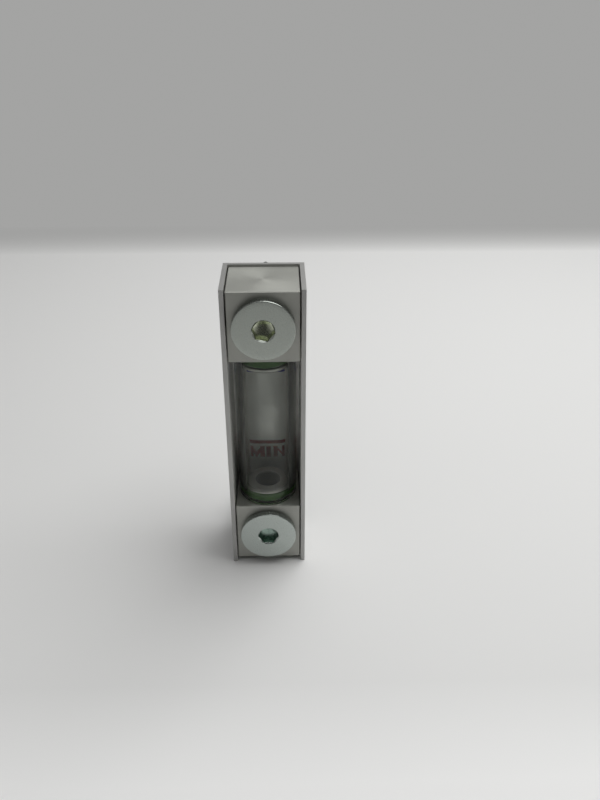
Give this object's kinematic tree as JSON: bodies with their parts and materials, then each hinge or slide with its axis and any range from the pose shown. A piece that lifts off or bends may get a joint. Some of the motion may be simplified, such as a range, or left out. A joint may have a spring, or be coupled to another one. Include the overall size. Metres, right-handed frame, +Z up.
{
  "type": "tank level gauge",
  "caption": "Tank level gauge with a glass sight tube held between end blocks in a channel guard, fixed through the tank wall by hollow screws.",
  "frame": {"origin": "middle of the back edge of the guard's lower end, on the plane that faces the tank wall", "axes": "+Z up along the glass, +Y into the tank along the hollow screws, +X across the gauge"},
  "size_m": [0.041, 0.0666, 0.168],
  "materials": {
    "guard": "clear anodised, satin",
    "block": "turned and milled, fine tool marks",
    "glass": "clear",
    "seal": "green rubber",
    "zinc": "bright zinc plated",
    "red_print": "matt print",
    "blue_print": "matt print"
  },
  "bodies": {
    "root": {"guard_channel": "guard", "lower_end_block": "block", "upper_end_block": "block", "sight_tube": "glass", "lower_tube_o_ring": "seal", "upper_tube_o_ring": "seal", "lower_hollow_screw": "zinc", "upper_hollow_screw": "zinc", "lower_head_seal": "seal", "upper_head_seal": "seal", "lower_wall_seal": "seal", "upper_wall_seal": "seal", "lower_washer": "zinc", "upper_washer": "zinc", "lower_nut": "zinc", "upper_nut": "zinc", "min_mark": "red_print", "max_mark": "blue_print"}
  },
  "joints": []
}
